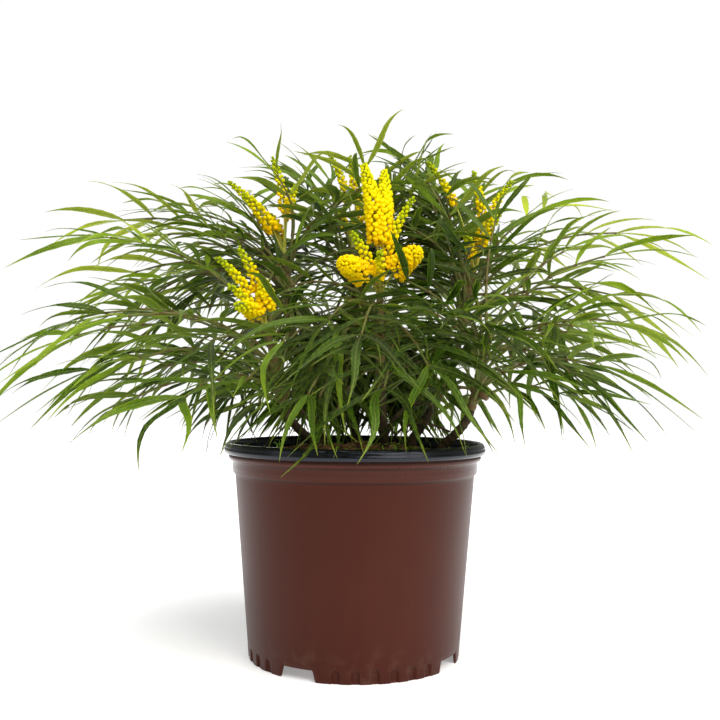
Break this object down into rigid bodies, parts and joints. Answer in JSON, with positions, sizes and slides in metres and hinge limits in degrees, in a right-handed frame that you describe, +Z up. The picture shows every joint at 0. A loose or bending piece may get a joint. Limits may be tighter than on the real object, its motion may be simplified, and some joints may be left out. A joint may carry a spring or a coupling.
{
  "type": "potted mahonia",
  "caption": "Mahonia shrub in flower: a dome of ferny fronds with narrow leaflets and yellow racemes on woody canes, in a round plastic nursery pot.",
  "frame": {"origin": "centre of the overall bounding box in plan, on the ground under the pot; the pot's axis passes within 6 mm of it", "axes": "+Z up; +X to the viewer's right when the pictured front faces them, along the plant's widest spread; -Y towards the viewer"},
  "size_m": [0.7787, 0.651, 0.5958],
  "materials": {
    "pot": "satin dark maroon-brown plastic, black on the inside and the rim",
    "mix": "loose bark and peat potting mix with some moss",
    "bark": "matt corky bark with leaf scars",
    "leaf": "leathery, satin, darker above than below",
    "flower": "matt lemon to golden yellow"
  },
  "bodies": {
    "root": {"nursery_pot": "pot", "potting_mix": "mix", "cane_front": "bark", "fronds_front": "leaf", "racemes_front": "flower", "cane_left_front": "bark", "fronds_left_front": "leaf", "racemes_left_front": "flower", "cane_left_back": "bark", "fronds_left_back": "leaf", "racemes_left_back": "flower", "cane_back": "bark", "fronds_back": "leaf", "racemes_back": "flower", "cane_right_back": "bark", "fronds_right_back": "leaf", "racemes_right_back": "flower", "cane_right_front": "bark", "fronds_right_front": "leaf"}
  },
  "joints": []
}
